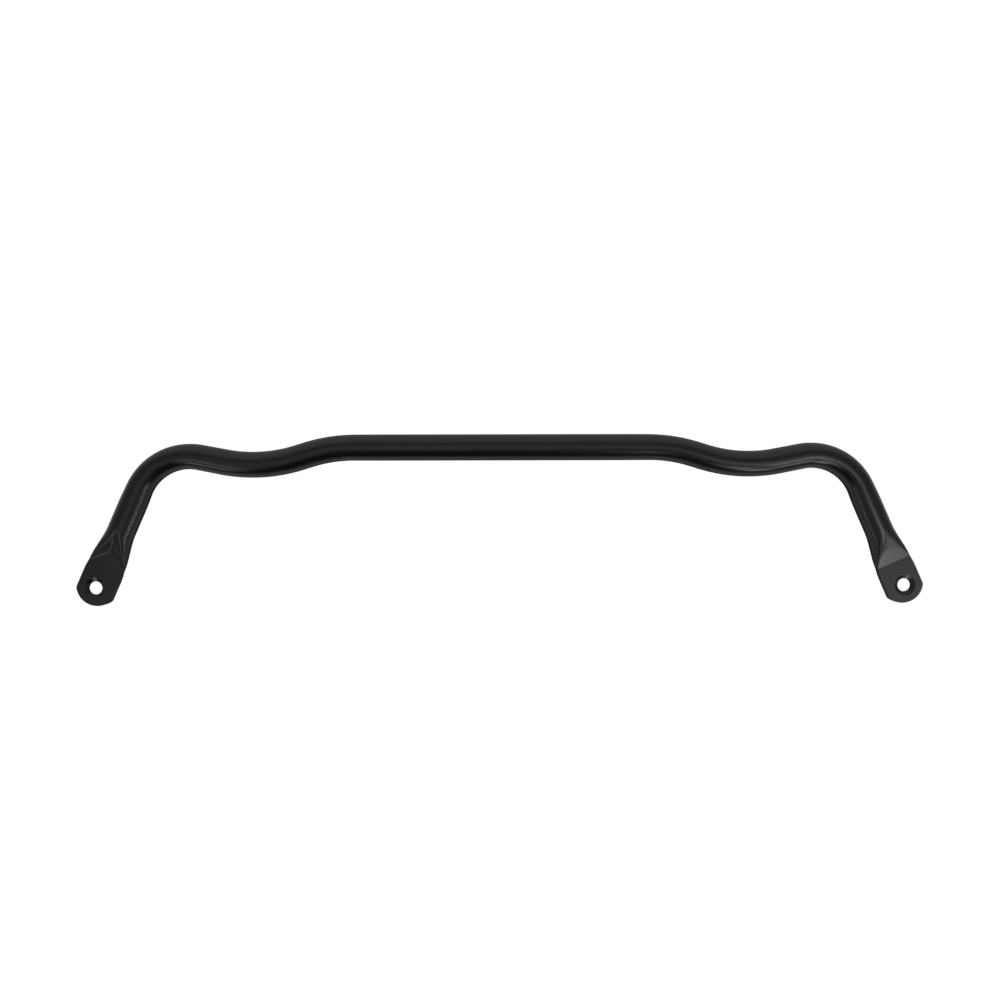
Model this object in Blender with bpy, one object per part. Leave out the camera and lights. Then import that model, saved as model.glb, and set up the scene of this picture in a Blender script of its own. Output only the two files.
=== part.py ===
# Sway bar (anti-roll bar): one forged round steel bar, bent to shape, with a flat drilled eye at each end.
# X runs across the vehicle, the arms point to -Y, and the eye faces look up and down (+Z and -Z).
import bpy
import bmesh
import math
from mathutils import Matrix, Vector

# Driving dimensions, in millimetres and degrees.
BAR_DIAMETER = 31.75
FIRST_BEND_X = 207.0  # where the centre run and the first slope would meet
DIP_X = 290.0  # the lowest corner of the shallow dip
DIP_DROP = 26.0
SHOULDER_X = 416.8  # where the rising slope and the arm would meet
SHOULDER_DROP = 1.5
EYE_X = 488.9  # the eye's centre line, level with the hole
EYE_DROP = 169.2
FIRST_BEND_RADIUS = 190.0
DIP_RADIUS = 186.0
SHOULDER_RADIUS = 66.0
BEND_FLATTENING = 0.076  # share of diameter lost in the plane of a bend of one diameter radius
ARM_SWELL = 0.5  # how much each side of the arm spreads on the way to the eye
FLAT_THICKNESS = 7.4
FLAT_HALF_WIDTH = 21.2  # of the face, where the ramp meets it
TIP_HALF_WIDTH = 22.5  # of the face, beside the hole
SPREAD_LENGTH = 14.0  # from the fold line to the full width
RAMP_START = 31.0  # from the hole back to the fold line
RAMP_ANGLE = 22.0
NOSE_START = 48.1  # from the hole back to the point of the other die's face
NOSE_OUTER = 29.0  # the same at the face's outer side
NOSE_INNER = 33.3  # and at its inner side
NOSE_ANGLE = 24.0  # of the walls, measured along the arm
HOLE_DIAMETER = 15.8
HOLE_OFFSET = 1.4  # from the eye's centre line outwards
COUNTERSINK_DIAMETER = 25.6
COUNTERSINK_LAND = 2.0  # the plain part of the hole left between the two countersinks
TIP_RADIUS = 25.5
TIP_CENTRE_BACK = 4.8  # from the hole back to the centre of the tip's arc

# Facets.
SIDES = 40
BEND_STEP = 5.0  # degrees of bend between two sections
FORGED_STEP = 5.0  # mm between two sections of the forged end
HOLE_SIDES = 48
ARC_SIDES = 28

MM = 0.001
R = BAR_DIAMETER / 2
HALF_FLAT = FLAT_THICKNESS / 2
HALF_LAND = COUNTERSINK_LAND / 2
RAMP_LENGTH = (R - HALF_FLAT) / math.tan(math.radians(RAMP_ANGLE))
NOSE_LENGTH = (R - HALF_FLAT) / math.tan(math.radians(NOSE_ANGLE))
FORGED_START = max(RAMP_START + RAMP_LENGTH, NOSE_START + NOSE_LENGTH)
OVERRUN = 1.6 * R  # how far cutters and the untrimmed end reach past the steel

for old in list(bpy.data.objects):
    bpy.data.objects.remove(old, do_unlink=True)


def corners():
    """The bar's axis from the middle to the right eye, before its bends are rounded."""
    return [
        Vector((0, 0)),
        Vector((FIRST_BEND_X, 0)),
        Vector((DIP_X, -DIP_DROP)),
        Vector((SHOULDER_X, -SHOULDER_DROP)),
        Vector((EYE_X, -EYE_DROP)),
    ]


def pieces():
    """Straights and arcs of the right half: (length, start point, heading, curvature)."""
    points = corners()
    radii = [FIRST_BEND_RADIUS, DIP_RADIUS, SHOULDER_RADIUS]
    result = []
    here = points[0]
    for i, radius in enumerate(radii):
        before = (points[i + 1] - points[i]).normalized()
        after = (points[i + 2] - points[i + 1]).normalized()
        turn = math.atan2(before.x * after.y - before.y * after.x, before.dot(after))
        tangent = radius * math.tan(abs(turn) / 2)
        start = points[i + 1] - before * tangent
        heading = math.atan2(before.y, before.x)
        result.append(((start - here).length, here, heading, 0.0))
        result.append((radius * abs(turn), start, heading, math.copysign(1 / radius, turn)))
        here = points[i + 1] + after * tangent
    last = points[-1] - here
    result.append((last.length, here, math.atan2(last.y, last.x), 0.0))
    return result


PIECES = pieces()
EYE_S = sum(piece[0] for piece in PIECES)  # the distance along the axis to the hole


def axis_at(s):
    """Point and heading of the right half's axis at a distance from the middle."""
    for length, start, heading, curvature in PIECES[:-1]:
        if s <= length:
            break
        s -= length
    else:
        length, start, heading, curvature = PIECES[-1]
    if curvature == 0:
        return start + s * Vector((math.cos(heading), math.sin(heading))), heading
    turned = heading + curvature * s
    offset = Vector((math.sin(turned) - math.sin(heading), math.cos(heading) - math.cos(turned)))
    return start + offset / curvature, turned


def bend_share(s, window=14.0):
    """Mean curvature over a short window, so the flattening fades in and out of a bend."""
    total = 0.0
    start = 0.0
    for length, _, _, curvature in PIECES:
        overlap = min(s + window, start + length) - max(s - window, start)
        total += max(0.0, overlap) * abs(curvature)
        start += length
    return total / (2 * window)


def ease(t):
    t = min(1.0, max(0.0, t))
    return t * t * (3 - 2 * t)


def half_width(s):
    """Half the bar's width in the plane of its bends."""
    u = s - EYE_S
    width = R * (1 - BEND_FLATTENING * BAR_DIAMETER * bend_share(s))
    width += ARM_SWELL * ease((u + FORGED_START + 60) / 30)
    if u <= -FORGED_START:
        return width
    # the face is narrower than the steel's rounded sides, which are widest at mid-thickness
    bulge = 1 / math.sqrt(1 - (HALF_FLAT / R) ** 2)
    fold = FLAT_HALF_WIDTH * bulge
    tip = TIP_HALF_WIDTH * bulge
    if u <= -RAMP_START:
        return width + (fold - width) * ease((u + FORGED_START) / (FORGED_START - RAMP_START))
    return fold + (tip - fold) * math.sin(math.pi / 2 * min(1.0, (u + RAMP_START) / SPREAD_LENGTH))


def stations():
    """Distances along the right half at which the bar has a section."""
    result = [0.0]
    start = 0.0
    for length, _, _, curvature in PIECES[:-1]:
        count = 1
        if curvature:
            count = max(2, round(math.degrees(length * abs(curvature)) / BEND_STEP))
        result += [start + length * k / count for k in range(1, count + 1)]
        start += length
    forged = EYE_S - FORGED_START
    end = EYE_S + TIP_RADIUS - TIP_CENTRE_BACK + OVERRUN / 4
    result += [start + (forged - start) * k / 6 for k in range(1, 6)]
    count = math.ceil((end - forged) / FORGED_STEP)
    result += [forged + (end - forged) * k / count for k in range(count + 1)]
    return result


def make_bar():
    """The swept bar with untrimmed, unpressed ends."""
    mesh = bpy.data.meshes.new("sway_bar")
    bm = bmesh.new()
    right = stations()
    sections = [(-s, -1) for s in reversed(right[1:])] + [(s, 1) for s in right]
    rings = []
    for s, side in sections:
        point, heading = axis_at(abs(s))
        normal = Vector((-math.sin(heading), math.cos(heading)))
        width = half_width(abs(s))
        ring = []
        for k in range(SIDES):
            angle = 2 * math.pi * k / SIDES
            flat = point + normal * width * math.cos(angle)
            ring.append(bm.verts.new((side * flat.x * MM, flat.y * MM, R * math.sin(angle) * MM)))
        rings.append(ring)
    for one, two in zip(rings, rings[1:]):
        for k in range(SIDES):
            bm.faces.new((one[k], two[k], two[(k + 1) % SIDES], one[(k + 1) % SIDES]))
    bm.faces.new(rings[0])
    bm.faces.new(list(reversed(rings[-1])))
    bmesh.ops.recalc_face_normals(bm, faces=bm.faces)
    bm.to_mesh(mesh)
    bm.free()
    mesh.shade_smooth()
    mesh.set_sharp_from_angle(angle=math.radians(30))
    return bpy.data.objects.new("sway_bar", mesh)


def make_prism(name, outline, low, high):
    """A closed prism between two copies of an outline; low and high place each point."""
    mesh = bpy.data.meshes.new(name)
    bm = bmesh.new()
    bottom = [bm.verts.new(low(a, b)) for a, b in outline]
    top = [bm.verts.new(high(a, b)) for a, b in outline]
    count = len(outline)
    for k in range(count):
        bm.faces.new((bottom[k], bottom[(k + 1) % count], top[(k + 1) % count], top[k]))
    bm.faces.new(list(reversed(bottom)))
    bm.faces.new(top)
    bmesh.ops.recalc_face_normals(bm, faces=bm.faces)
    bm.to_mesh(mesh)
    bm.free()
    return bpy.data.objects.new(name, mesh)


# Each cutter is drawn around the eye's centre: u towards the tip, v outwards, w up.
def ramp_die(name):
    """Presses the face and the straight ramp: a profile in u and w, extruded across."""
    side = TIP_HALF_WIDTH + OVERRUN
    front = TIP_RADIUS + OVERRUN
    top = R + OVERRUN
    back = RAMP_START + (top - HALF_FLAT) / math.tan(math.radians(RAMP_ANGLE))
    outline = [(-RAMP_START, HALF_FLAT), (front, HALF_FLAT), (front, top), (-back, top)]
    return make_prism(
        name,
        outline,
        lambda u, w: (u * MM, -side * MM, w * MM),
        lambda u, w: (u * MM, side * MM, w * MM),
    )


def nose_die(name):
    """Presses the other face, which ends in a point between two sloping walls."""
    side = TIP_HALF_WIDTH + OVERRUN
    front = TIP_RADIUS + OVERRUN
    rise = R + OVERRUN - HALF_FLAT
    shift = rise / math.tan(math.radians(NOSE_ANGLE))
    outer = -NOSE_START + (NOSE_START - NOSE_OUTER) * side / FLAT_HALF_WIDTH
    inner = -NOSE_START + (NOSE_START - NOSE_INNER) * side / FLAT_HALF_WIDTH
    outline = [(outer, side), (-NOSE_START, 0), (inner, -side), (front + shift, -side), (front + shift, side)]
    return make_prism(
        name,
        outline,
        lambda u, v: (u * MM, v * MM, -HALF_FLAT * MM),
        lambda u, v: ((u - shift) * MM, v * MM, (-HALF_FLAT - rise) * MM),
    )


def tip_shear(name):
    """Trims the end to an arc, leaving a sharp corner on each side."""
    side = TIP_HALF_WIDTH + OVERRUN + TIP_RADIUS
    front = TIP_RADIUS + 2 * OVERRUN
    height = R + OVERRUN
    outline = []
    for k in range(ARC_SIDES + 1):
        angle = math.pi / 2 - math.pi * k / ARC_SIDES
        u = -TIP_CENTRE_BACK + TIP_RADIUS * math.cos(angle)
        outline.append((u, TIP_RADIUS * math.sin(angle)))
    outline += [(-TIP_CENTRE_BACK, -side), (front, -side), (front, side), (-TIP_CENTRE_BACK, side)]
    return make_prism(
        name,
        outline,
        lambda u, v: (u * MM, v * MM, -height * MM),
        lambda u, v: (u * MM, v * MM, height * MM),
    )


def eye_drill(name):
    """The hole and its countersinks, turned about the hole's axis."""
    slope = (COUNTERSINK_DIAMETER - HOLE_DIAMETER) / 2 / (HALF_FLAT - HALF_LAND)
    extra = 2.0
    wide = COUNTERSINK_DIAMETER / 2 + extra * slope
    levels = [
        (-HALF_FLAT - extra, wide),
        (-HALF_LAND, HOLE_DIAMETER / 2),
        (HALF_LAND, HOLE_DIAMETER / 2),
        (HALF_FLAT + extra, wide),
    ]
    mesh = bpy.data.meshes.new(name)
    bm = bmesh.new()
    rings = []
    for w, radius in levels:
        ring = []
        for k in range(HOLE_SIDES):
            angle = 2 * math.pi * k / HOLE_SIDES
            point = (radius * math.cos(angle), HOLE_OFFSET + radius * math.sin(angle), w)
            ring.append(bm.verts.new([value * MM for value in point]))
        rings.append(ring)
    for one, two in zip(rings, rings[1:]):
        for k in range(HOLE_SIDES):
            bm.faces.new((one[k], one[(k + 1) % HOLE_SIDES], two[(k + 1) % HOLE_SIDES], two[k]))
    bm.faces.new(list(reversed(rings[0])))
    bm.faces.new(rings[-1])
    bmesh.ops.recalc_face_normals(bm, faces=bm.faces)
    bm.to_mesh(mesh)
    bm.free()
    return bpy.data.objects.new(name, mesh)


def paint():
    """Satin black powder coat."""
    material = bpy.data.materials.new("black_powder_coat")
    material.use_nodes = True
    shader = material.node_tree.nodes["Principled BSDF"]
    shader.inputs["Base Color"].default_value = (0.012, 0.012, 0.013, 1)
    shader.inputs["Roughness"].default_value = 0.42
    shader.inputs["Metallic"].default_value = 0.0
    return material


scene = bpy.context.scene
bar = make_bar()
bar.data.materials.append(paint())
scene.collection.objects.link(bar)
stand = bpy.data.objects.new("stand", None)
scene.collection.objects.link(stand)
bar.parent = stand

# The right end's frame; the left end is the same die set with the bar turned end for end.
eye_point, eye_heading = axis_at(EYE_S)
right_end = Matrix.Translation((eye_point.x * MM, eye_point.y * MM, 0)) @ Matrix.Rotation(eye_heading, 4, "Z")
left_end = Matrix.Rotation(math.pi, 4, "Y") @ right_end
for side, place in (("right", right_end), ("left", left_end)):
    for make in (ramp_die, nose_die, tip_shear, eye_drill):
        cutter = make(f"{side}_{make.__name__}")
        cutter.hide_render = True
        cutter.display_type = "WIRE"
        cutter.parent = stand
        cutter.matrix_local = place
        scene.collection.objects.link(cutter)
        cut = bar.modifiers.new(cutter.name, "BOOLEAN")
        cut.operation = "DIFFERENCE"
        cut.solver = "EXACT"
        cut.object = cutter

# The origin is the middle of the bar's footprint, on the surface it lies on.
bpy.context.view_layer.update()
formed = bar.evaluated_get(bpy.context.evaluated_depsgraph_get())
box = [Vector(corner) for corner in formed.bound_box]
low = [min(corner[i] for corner in box) for i in range(3)]
high = [max(corner[i] for corner in box) for i in range(3)]
stand.location = (-(low[0] + high[0]) / 2, -(low[1] + high[1]) / 2, -low[2])
bpy.context.view_layer.update()
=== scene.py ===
import math
import bpy
import bmesh
from mathutils import Matrix, Vector


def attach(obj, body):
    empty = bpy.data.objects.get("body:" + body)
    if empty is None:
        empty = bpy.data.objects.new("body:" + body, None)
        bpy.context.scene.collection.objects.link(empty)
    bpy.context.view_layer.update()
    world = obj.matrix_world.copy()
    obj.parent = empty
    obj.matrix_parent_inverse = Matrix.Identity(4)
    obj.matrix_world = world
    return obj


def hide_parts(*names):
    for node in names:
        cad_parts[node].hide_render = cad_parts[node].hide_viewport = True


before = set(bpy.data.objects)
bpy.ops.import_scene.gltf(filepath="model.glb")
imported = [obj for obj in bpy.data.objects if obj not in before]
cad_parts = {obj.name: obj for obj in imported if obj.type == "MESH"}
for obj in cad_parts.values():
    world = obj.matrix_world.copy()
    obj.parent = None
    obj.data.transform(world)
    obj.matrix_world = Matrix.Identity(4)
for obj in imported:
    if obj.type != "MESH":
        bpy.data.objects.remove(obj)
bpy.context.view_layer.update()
print("frame loaded")

# Millimetres and degrees, in the bar's own frame: the centre run's axis is y = 0, z = 0.
barShape = {
    "diameter": 31.75,
    "bendPoints": [(0.0, 0.0), (207.0, 0.0), (290.0, -26.0), (416.8, -1.5), (488.9, -169.2)],
    "bendRadii": [190.0, 186.0, 66.0],
    "bendFlattening": 0.076,
    "sides": 168,
    "edgeDensity": 6.0,  # how much closer together the points lie along the eye's long edges
}

eyeShape = {
    "thickness": 7.4,
    "halfWidth": 21.2,
    "tipHalfWidth": 22.5,
    "armSwell": 0.5,
    "spreadLength": 14.0,
    "rampStart": 31.0,
    "rampAngle": 22.0,
    "noseStart": 48.1,
    "noseOuter": 29.0,  # where its boundary meets the face's outer edge
    "noseInner": 33.3,
    "noseAngle": 18.0,  # of the walls where they start, measured along the arm
    "noseCurl": 0.0045,  # how fast they steepen, a millimetre
    "noseReach": 27.4,  # their length along the arm at the middle
    "noseLean": 3.0,  # the slight rise of the nose past the faint fold
    "tipRadius": 25.5,
    "tipBack": 4.8,
    "edgeRound": 0.5,
    "hole": 15.8,
    "holeOffset": 1.4,
    "countersink": 25.6,
    "land": 2.0,
    "lipRound": 0.7,
    "holeSides": 128,
    "foldStep": 0.35,  # between rings beside the fold
    "forgedStep": 0.9,  # between rings on the rest of the forging
    "ringsFrom": 16.0,  # before the hole, where the rings start to follow the tip's arc
    "ringCount": 44,
}

mm = 0.001
radius = barShape["diameter"] / 2
halfFlat = eyeShape["thickness"] / 2
rampLength = (radius - halfFlat) / math.tan(math.radians(eyeShape["rampAngle"]))
noseLength = eyeShape["noseReach"]
forgedStart = max(eyeShape["rampStart"] + rampLength, eyeShape["noseStart"] + noseLength)


def axisPieces():
    # straights and arcs of the right half: length, start, heading, curvature
    points = [Vector(p) for p in barShape["bendPoints"]]
    pieces = []
    here = points[0]
    for i, bend in enumerate(barShape["bendRadii"]):
        before = (points[i + 1] - points[i]).normalized()
        after = (points[i + 2] - points[i + 1]).normalized()
        turn = math.atan2(before.x * after.y - before.y * after.x, before.dot(after))
        tangent = bend * math.tan(abs(turn) / 2)
        start = points[i + 1] - before * tangent
        heading = math.atan2(before.y, before.x)
        pieces.append(((start - here).length, here, heading, 0.0))
        pieces.append((bend * abs(turn), start, heading, math.copysign(1 / bend, turn)))
        here = points[i + 1] + after * tangent
    last = points[-1] - here
    pieces.append((last.length, here, math.atan2(last.y, last.x), 0.0))
    return pieces


pieces = axisPieces()
eyeAt = sum(piece[0] for piece in pieces)


def axisPoint(s):
    for length, start, heading, curvature in pieces[:-1]:
        if s <= length:
            break
        s -= length
    else:
        length, start, heading, curvature = pieces[-1]
    if curvature == 0:
        return start + s * Vector((math.cos(heading), math.sin(heading))), heading
    turned = heading + curvature * s
    offset = Vector((math.sin(turned) - math.sin(heading), math.cos(heading) - math.cos(turned)))
    return start + offset / curvature, turned


def bendShare(s, window=14.0):
    total = 0.0
    start = 0.0
    for length, _, _, curvature in pieces:
        total += max(0.0, min(s + window, start + length) - max(s - window, start)) * abs(curvature)
        start += length
    return total / (2 * window)


def ease(t):
    t = min(1.0, max(0.0, t))
    return t * t * (3 - 2 * t)


def halfWidth(s):
    u = s - eyeAt
    width = radius * (1 - barShape["bendFlattening"] * barShape["diameter"] * bendShare(s))
    width += eyeShape["armSwell"] * ease((u + forgedStart + 60) / 30)
    if u <= -forgedStart:
        return width
    bulge = 1 / math.sqrt(1 - (halfFlat / radius) ** 2)
    fold = eyeShape["halfWidth"] * bulge
    tip = eyeShape["tipHalfWidth"] * bulge
    if u <= -eyeShape["rampStart"]:
        return width + (fold - width) * ease((u + forgedStart) / (forgedStart - eyeShape["rampStart"]))
    spread = min(1.0, (u + eyeShape["rampStart"]) / eyeShape["spreadLength"])
    return fold + (tip - fold) * math.sin(math.pi / 2 * spread)


def softMin(a, b, k):
    h = max(k - abs(a - b), 0.0) / k
    return min(a, b) - h * h * k / 4


def softRise(x, k):
    # zero below, x above, with a rounded corner about 2 k long
    if x <= -k:
        return 0.0
    if x >= k:
        return x
    return (x + k) ** 2 / (4 * k)


def rampHeight(u, v, outward):
    # the face and the straight ramp
    slope = math.tan(math.radians(eyeShape["rampAngle"]))
    return halfFlat + slope * softRise(-eyeShape["rampStart"] - u, 0.7)


def noseHeight(u, v, outward):
    # the other die: a faint fold, then a pointed nose whose walls steepen as they rise
    # outward is 1 where v grows outwards
    side = v * outward
    low = eyeShape["noseOuter"] if side > 0 else eyeShape["noseInner"]
    reach = math.sqrt(v * v + 1.0) - 1.0
    edge = eyeShape["noseStart"] - (eyeShape["noseStart"] - low) * reach / (eyeShape["halfWidth"] - 1.0)
    lean = math.tan(math.radians(eyeShape["noseLean"])) * softRise(-eyeShape["rampStart"] - u, 1.5)
    away = softRise(-edge - u, 0.5)
    wall = math.tan(math.radians(eyeShape["noseAngle"])) * away + eyeShape["noseCurl"] * away * away
    return halfFlat + lean + wall


def ringAngles():
    # points around the bar, closer together where the eye's long edges run
    corner = math.degrees(math.asin(halfFlat / radius))
    quarter = barShape["sides"] // 4
    steps = 2000
    total = [0.0]
    for i in range(steps):
        angle = 90 * (i + 0.5) / steps
        total.append(total[-1] + 1 + barShape["edgeDensity"] * math.exp(-(((angle - corner) / 3.5) ** 2)))
    first = []
    i = 0
    for k in range(quarter):
        want = total[-1] * k / quarter
        while total[i + 1] < want:
            i += 1
        first.append(90 * (i + (want - total[i]) / (total[i + 1] - total[i])) / steps)
    angles = first + [90.0] + [180 - a for a in reversed(first[1:])]
    angles += [180 + a for a in first] + [270.0] + [360 - a for a in reversed(first[1:])]
    return [math.radians(a) for a in angles]


def armStations():
    # distances along the axis, up to just before the eye's hole
    result = [0.0]
    start = 0.0
    for length, _, _, curvature in pieces[:-1]:
        count = max(1, math.ceil(math.degrees(length * abs(curvature)) / 1.5))
        if curvature == 0:
            count = max(1, math.ceil(length / 40))
        result += [start + length * k / count for k in range(1, count + 1)]
        start += length
    forged = eyeAt - forgedStart - 14
    count = max(1, math.ceil((forged - start) / 6))
    result += [start + (forged - start) * k / count for k in range(1, count + 1)]
    s = forged
    last = eyeAt - eyeShape["ringsFrom"]
    while s < last - 0.5:
        nearFold = abs(s - eyeAt + eyeShape["rampStart"]) < 2
        s += eyeShape["foldStep"] if nearFold else eyeShape["forgedStep"]
        result.append(min(s, last))
    return result


def tipArc(v, grow=0.0):
    r = eyeShape["tipRadius"] + grow
    return -eyeShape["tipBack"] + math.sqrt(max(r * r - v * v, 0.0))


def ringPoint(u, v, angle, width, topHeight, lowHeight, drop=0.0):
    rise = radius * math.sqrt(max(0.0, 1 - (v / width) ** 2))
    up = math.sin(angle) >= 0
    limit = (topHeight if up else lowHeight)(u, v, 1) if u > -forgedStart - 16 else 9 * radius
    blend = 0.9 + 5.0 * min(1.0, max(0.0, (-eyeShape["rampStart"] - u) / 22))
    height = softMin(rise, limit, blend) if rise > 0 else 0.0
    height = max(0.0, min(rise, height) - drop)
    return height if up else -height


def halfRings(topHeight, lowHeight):
    # rings of (x, y, z) for one half, from the middle to the trimmed tip
    angles = ringAngles()
    rings = []
    for s in armStations():
        point, heading = axisPoint(s)
        across = Vector((-math.sin(heading), math.cos(heading)))
        width = halfWidth(s)
        ring = []
        for angle in angles:
            v = width * math.cos(angle)
            z = ringPoint(s - eyeAt, v, angle, width, topHeight, lowHeight)
            flat = point + across * v
            ring.append((flat.x, flat.y, z))
        rings.append(ring)
    centre, heading = axisPoint(eyeAt)
    along = Vector((math.cos(heading), math.sin(heading)))
    across = Vector((-math.sin(heading), math.cos(heading)))
    ringCount = eyeShape["ringCount"]
    ringsFrom = eyeShape["ringsFrom"]
    plan = [(t / ringCount, 0.0, 0.0) for t in range(1, ringCount + 1)]
    rounding = eyeShape["edgeRound"]
    for a in (0.4, 0.8, 1.2, math.pi / 2):
        plan.append((1.0, rounding * math.sin(a), rounding * (1 - math.cos(a))))
    for t, grow, drop in plan:
        ring = []
        for angle in angles:
            u = 0.0
            for _ in range(4):
                width = halfWidth(eyeAt + u)
                v = width * math.cos(angle)
                u = -ringsFrom + (tipArc(v, grow - rounding) + ringsFrom) * t
            z = ringPoint(u, v, angle, width, topHeight, lowHeight, drop)
            flat = centre + along * u + across * v
            ring.append((flat.x, flat.y, z))
        rings.append(ring)
    return rings


def holeCutter(name):
    # a turned solid: land, cones and rounded lips, the same from both faces
    outer = eyeShape["countersink"] / 2
    inner = eyeShape["hole"] / 2
    land = eyeShape["land"] / 2
    lip = eyeShape["lipRound"]
    slope = math.atan2(halfFlat - land, outer - inner)  # the cone's rise over the face
    reach = lip * math.tan(slope / 2)
    start = outer + reach
    profile = [(0.0, halfFlat + 4), (start, halfFlat + 4)]
    for k in range(9):
        a = slope * k / 8
        profile.append((start - lip * math.sin(a), halfFlat - 0.003 - lip * (1 - math.cos(a))))
    small = 0.35
    turn = math.pi / 2 - slope
    back = small * math.tan(turn / 2)
    centre = Vector((inner + small, land - back))
    for k in range(7):
        a = slope + turn * k / 6
        profile.append((centre.x - small * math.sin(a), centre.y + small * math.cos(a)))
    profile += [(r, -z) for r, z in reversed(profile)]
    mesh = bpy.data.meshes.new(name)
    bm = bmesh.new()
    sides = eyeShape["holeSides"]
    rings = []
    for r, z in profile:
        if r == 0:
            rings.append([bm.verts.new((0, 0, z * mm))])
            continue
        turns = [2 * math.pi * k / sides for k in range(sides)]
        rings.append([bm.verts.new((r * math.cos(a) * mm, r * math.sin(a) * mm, z * mm)) for a in turns])
    for one, two in zip(rings, rings[1:]):
        for k in range(sides):
            n = (k + 1) % sides
            if len(one) == 1:
                bm.faces.new((one[0], two[k], two[n]))
            elif len(two) == 1:
                bm.faces.new((one[k], two[0], one[n]))
            else:
                bm.faces.new((one[k], two[k], two[n], one[n]))
    bmesh.ops.recalc_face_normals(bm, faces=bm.faces)
    for face in bm.faces:
        face.smooth = True
    bm.to_mesh(mesh)
    bm.free()
    cutter = bpy.data.objects.new(name, mesh)
    bpy.context.collection.objects.link(cutter)
    return cutter


def makeBar():
    right = halfRings(rampHeight, noseHeight)
    turned = halfRings(noseHeight, rampHeight)
    left = [[(-x, y, z) for x, y, z in ring] for ring in turned]
    rings = list(reversed(left[1:])) + right
    count = len(rings[0])
    vertices = [(x * mm, y * mm, z * mm) for ring in rings for x, y, z in ring]
    faces = []
    for i in range(len(rings) - 1):
        for k in range(count):
            n = (k + 1) % count
            faces.append((i * count + k, (i + 1) * count + k, (i + 1) * count + n, i * count + n))
    half = count // 2
    for first, flip in ((0, False), ((len(rings) - 1) * count, True)):
        for k in range(half):
            quad = [first + k, first + k + 1, first + (count - k - 1) % count, first + (count - k) % count]
            quad = list(dict.fromkeys(quad))
            faces.append(tuple(quad if not flip else reversed(quad)))
    mesh = bpy.data.meshes.new("swayBar")
    mesh.from_pydata(vertices, [], faces)
    bm = bmesh.new()
    bm.from_mesh(mesh)
    bmesh.ops.remove_doubles(bm, verts=bm.verts, dist=1e-7)
    bmesh.ops.recalc_face_normals(bm, faces=bm.faces)
    for face in bm.faces:
        face.smooth = True
    bm.to_mesh(mesh)
    bm.free()
    bar = bpy.data.objects.new("barPaint", mesh)
    bpy.context.collection.objects.link(bar)
    return bar


def settle(bar):
    # cuts the eye holes, then applies everything to the mesh
    centre, heading = axisPoint(eyeAt)
    end = Matrix.Translation((centre.x * mm, centre.y * mm, 0)) @ Matrix.Rotation(heading, 4, "Z")
    end = end @ Matrix.Translation((0, eyeShape["holeOffset"] * mm, 0))
    cutters = []
    for side, place in (("right", end), ("left", Matrix.Rotation(math.pi, 4, "Y") @ end)):
        cutter = holeCutter(side + "Drill")
        cutter.matrix_world = place
        cut = bar.modifiers.new(side + "Hole", "BOOLEAN")
        cut.operation = "DIFFERENCE"
        cut.object = cutter
        cutters.append(cutter)
    bpy.context.view_layer.update()
    formed = bar.evaluated_get(bpy.context.evaluated_depsgraph_get())
    mesh = bpy.data.meshes.new_from_object(formed)
    bar.modifiers.clear()
    bar.data = mesh
    for cutter in cutters:
        bpy.data.objects.remove(cutter, do_unlink=True)
    low = [min(v.co[i] for v in mesh.vertices) for i in range(3)]
    high = [max(v.co[i] for v in mesh.vertices) for i in range(3)]
    shift = Vector((-(low[0] + high[0]) / 2, -(low[1] + high[1]) / 2, -low[2]))
    mesh.transform(Matrix.Translation(shift))
    bm = bmesh.new()
    bm.from_mesh(mesh)
    for edge in bm.edges:
        edge.smooth = len(edge.link_faces) == 2 and edge.calc_face_angle() < math.radians(40)
    bm.to_mesh(mesh)
    bm.free()
    weigh = bar.modifiers.new("evenShading", "WEIGHTED_NORMAL")
    weigh.keep_sharp = True
    return shift


class Socket:
    # wraps a shader output so that maths on it reads as maths

    def __init__(self, build, link):
        self.build = build
        self.link = link

    def math(self, operation, *others):
        return self.build.node("ShaderNodeMath", {"operation": operation}, [self, *others])[0]

    def __add__(self, other):
        return self.math("ADD", other)

    def __radd__(self, other):
        return self.math("ADD", other)

    def __sub__(self, other):
        return self.math("SUBTRACT", other)

    def __rsub__(self, other):
        return self.build.node("ShaderNodeMath", {"operation": "SUBTRACT"}, [other, self])[0]

    def __mul__(self, other):
        return self.math("MULTIPLY", other)

    def __rmul__(self, other):
        return self.math("MULTIPLY", other)


class Build:
    # the node tree of one material or world

    def __init__(self, owner):
        self.owner = owner
        owner.use_nodes = True
        self.tree = owner.node_tree
        self.tree.nodes.clear()

    def node(self, kind, settings=None, inputs=()):
        made = self.tree.nodes.new(kind)
        for key, value in (settings or {}).items():
            setattr(made, key, value)
        pairs = inputs.items() if isinstance(inputs, dict) else enumerate(inputs)
        for key, value in pairs:
            if isinstance(value, Socket):
                self.tree.links.new(value.link, made.inputs[key])
            else:
                made.inputs[key].default_value = value
        return [Socket(self, output) for output in made.outputs]


powderCoat = {
    "colour": (0.005, 0.005, 0.0052, 1),
    "dust": (0.008, 0.008, 0.0085, 1),
    "roughness": 0.25,
    "roughnessSpread": 0.06,
    "peelSize": 900,  # bumps a metre
    "peelDepth": 0.12,
}


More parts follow.
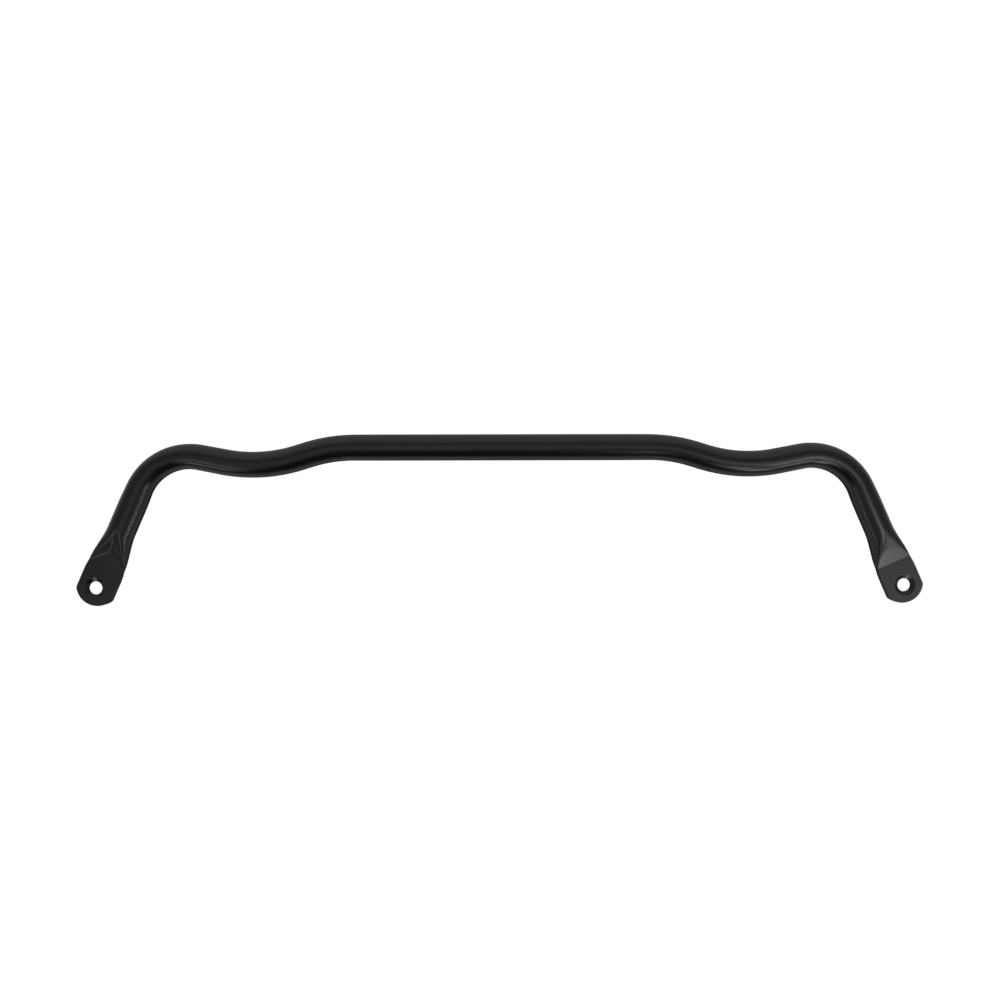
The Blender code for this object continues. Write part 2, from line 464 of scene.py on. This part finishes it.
def makePowderCoat():
    build = Build(bpy.data.materials.new("satinBlackPowderCoat"))
    place = build.node("ShaderNodeTexCoord")[3]
    clouds = build.node("ShaderNodeTexNoise", {}, {"Vector": place, "Scale": 14, "Detail": 4})[0]
    grain = build.node("ShaderNodeTexNoise", {}, {"Vector": place, "Scale": 260, "Detail": 3})[0]
    peelSize = powderCoat["peelSize"]
    peel = build.node("ShaderNodeTexNoise", {}, {"Vector": place, "Scale": peelSize, "Detail": 1})[0]
    fine = build.node("ShaderNodeTexNoise", {}, {"Vector": place, "Scale": 2600, "Detail": 1})[0]
    colour = build.node(
        "ShaderNodeMix",
        {"data_type": "RGBA"},
        {0: clouds * 0.7 + grain * 0.3, 6: powderCoat["colour"], 7: powderCoat["dust"]},
    )[2]
    rough = powderCoat["roughness"] + (clouds - 0.5) * powderCoat["roughnessSpread"] + (grain - 0.5) * 0.05
    bump = build.node(
        "ShaderNodeBump",
        {},
        {"Strength": powderCoat["peelDepth"], "Distance": 0.0002, "Height": peel + fine * 0.3},
    )[0]
    shader = build.node(
        "ShaderNodeBsdfPrincipled",
        {},
        {"Base Color": colour, "Roughness": rough, "Metallic": 0.0, "IOR": 1.5, "Normal": bump},
    )[0]
    build.node("ShaderNodeOutputMaterial", {}, [shader])
    return build.owner


studio = {
    "floorGlow": 1.0,
    "panels": {
        # name: (radiance, height, left edge, right edge, near edge, far edge), facing down
        "rightNearFront": (3.8, 0.75, 0.42, 0.62, -0.95, -0.55),
        "rightNear": (0.8, 0.75, 0.42, 0.62, -0.25, 0.10),
        "rightWide": (1.6, 0.75, 0.90, 1.50, -0.95, -0.25),
        "leftMiddle": (1.1, 0.75, -0.90, -0.62, -0.95, -0.25),
        "rightLowFront": (11.0, 0.45, 0.56, 0.75, -1.05, -0.75),
        "rightLowSide": (4.5, 0.45, 0.75, 1.10, -0.75, -0.50),
        "leftLowFront": (4.5, 0.45, -1.10, -0.75, -1.05, -0.75),
        "rightLowInner": (4.0, 0.45, 0.52, 0.60, -0.25, -0.05),
        "rightLowOuter": (1.0, 0.45, 0.68, 0.78, -0.25, -0.05),
    },
    "glows": {
        # name: (radiance, slopes), each slope (axis, value where it is dark, value where it is full)
        "skyBehind": (0.3, [(2, -0.10, 0.10), (1, -0.15, 0.25)]),
        "skyFront": (0.4, [(2, -0.10, 0.10), (1, 0.25, -0.15), (1, -0.75, -0.35)]),
        "underBehind": (0.6, [(2, 0.10, -0.10), (2, -0.88, -0.62), (1, -0.2, 0.2)]),
        "underFront": (0.55, [(2, 0.10, -0.10), (2, -0.88, -0.62), (1, 0.2, -0.2)]),
        "skyBehindLow": (0.5, [(2, -0.10, 0.10), (1, 0.45, 0.85)]),
        "overhead": (0.3, [(2, 0.90, 0.99)]),
    },
}


def makeFloor():
    mesh = bpy.data.meshes.new("floor")
    bm = bmesh.new()
    bmesh.ops.create_circle(bm, cap_ends=True, segments=64, radius=14)
    bm.to_mesh(mesh)
    bm.free()
    floor = bpy.data.objects.new("floor", mesh)
    bpy.context.collection.objects.link(floor)
    floor.location.z = -0.0002
    build = Build(bpy.data.materials.new("paleFloor"))
    shader = build.node(
        "ShaderNodeBsdfPrincipled",
        {},
        {
            "Base Color": (0.0, 0.0, 0.0, 1),
            "Roughness": 1.0,
            "Specular IOR Level": 0.0,
            "Emission Color": (1, 1, 1, 1),
            "Emission Strength": studio["floorGlow"],
        },
    )[0]
    build.node("ShaderNodeOutputMaterial", {}, [shader])
    mesh.materials.append(build.owner)
    floor.visible_glossy = False


def makeLights():
    for name, (radiance, height, left, right, near, far) in studio["panels"].items():
        light = bpy.data.lights.new(name, "AREA")
        light.shape = "RECTANGLE"
        light.size = right - left
        light.size_y = far - near
        light.energy = radiance * math.pi * light.size * light.size_y
        panel = bpy.data.objects.new(name, light)
        bpy.context.collection.objects.link(panel)
        panel.location = ((left + right) / 2, (near + far) / 2, height)


def makeWorld():
    # a dim room whose glow depends only on the direction
    world = bpy.data.worlds.new("dimRoom")
    bpy.context.scene.world = world
    build = Build(world)
    place = build.node("ShaderNodeTexCoord")[0]
    axes = build.node("ShaderNodeSeparateXYZ", {}, [place])
    total = 0.0
    for radiance, slopes in studio["glows"].values():
        glow = radiance
        for axis, dark, full in slopes:
            falling = dark > full
            ends = {
                "Value": axes[axis],
                "From Min": min(dark, full),
                "From Max": max(dark, full),
                "To Min": 1.0 if falling else 0.0,
                "To Max": 0.0 if falling else 1.0,
            }
            glow = glow * build.node("ShaderNodeMapRange", {"interpolation_type": "SMOOTHSTEP"}, ends)[0]
        total = total + glow
    background = build.node("ShaderNodeBackground", {}, {"Strength": total})[0]
    build.node("ShaderNodeOutputWorld", {}, [background])


def makeCamera(shift):
    camera = bpy.data.cameras.new("camera")
    camera.sensor_width = 36
    camera.lens = cameraView["lens"]
    camera.clip_end = 50
    view = bpy.data.objects.new("camera", camera)
    bpy.context.collection.objects.link(view)
    view.location = Vector(cameraView["place"]) * mm + shift
    view.rotation_euler = [math.radians(a) for a in cameraView["turn"]]
    bpy.context.scene.camera = view


cameraView = {
    "lens": 30.6,
    "place": (-13.94, -63.93, 1031.88),
    "turn": (0.002, -0.654, -0.157),
}

bar = makeBar()
print("bar swept:", len(bar.data.polygons), "faces")
shift = settle(bar)
print("eyes drilled:", len(bar.data.polygons), "faces")
bar.data.materials.clear()
bar.data.materials.append(makePowderCoat())
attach(bar, "root")
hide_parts("sway_bar")
print("coat on")

makeFloor()
makeLights()
makeWorld()
makeCamera(shift)
bpy.context.scene.view_settings.view_transform = "Standard"
print("studio set")
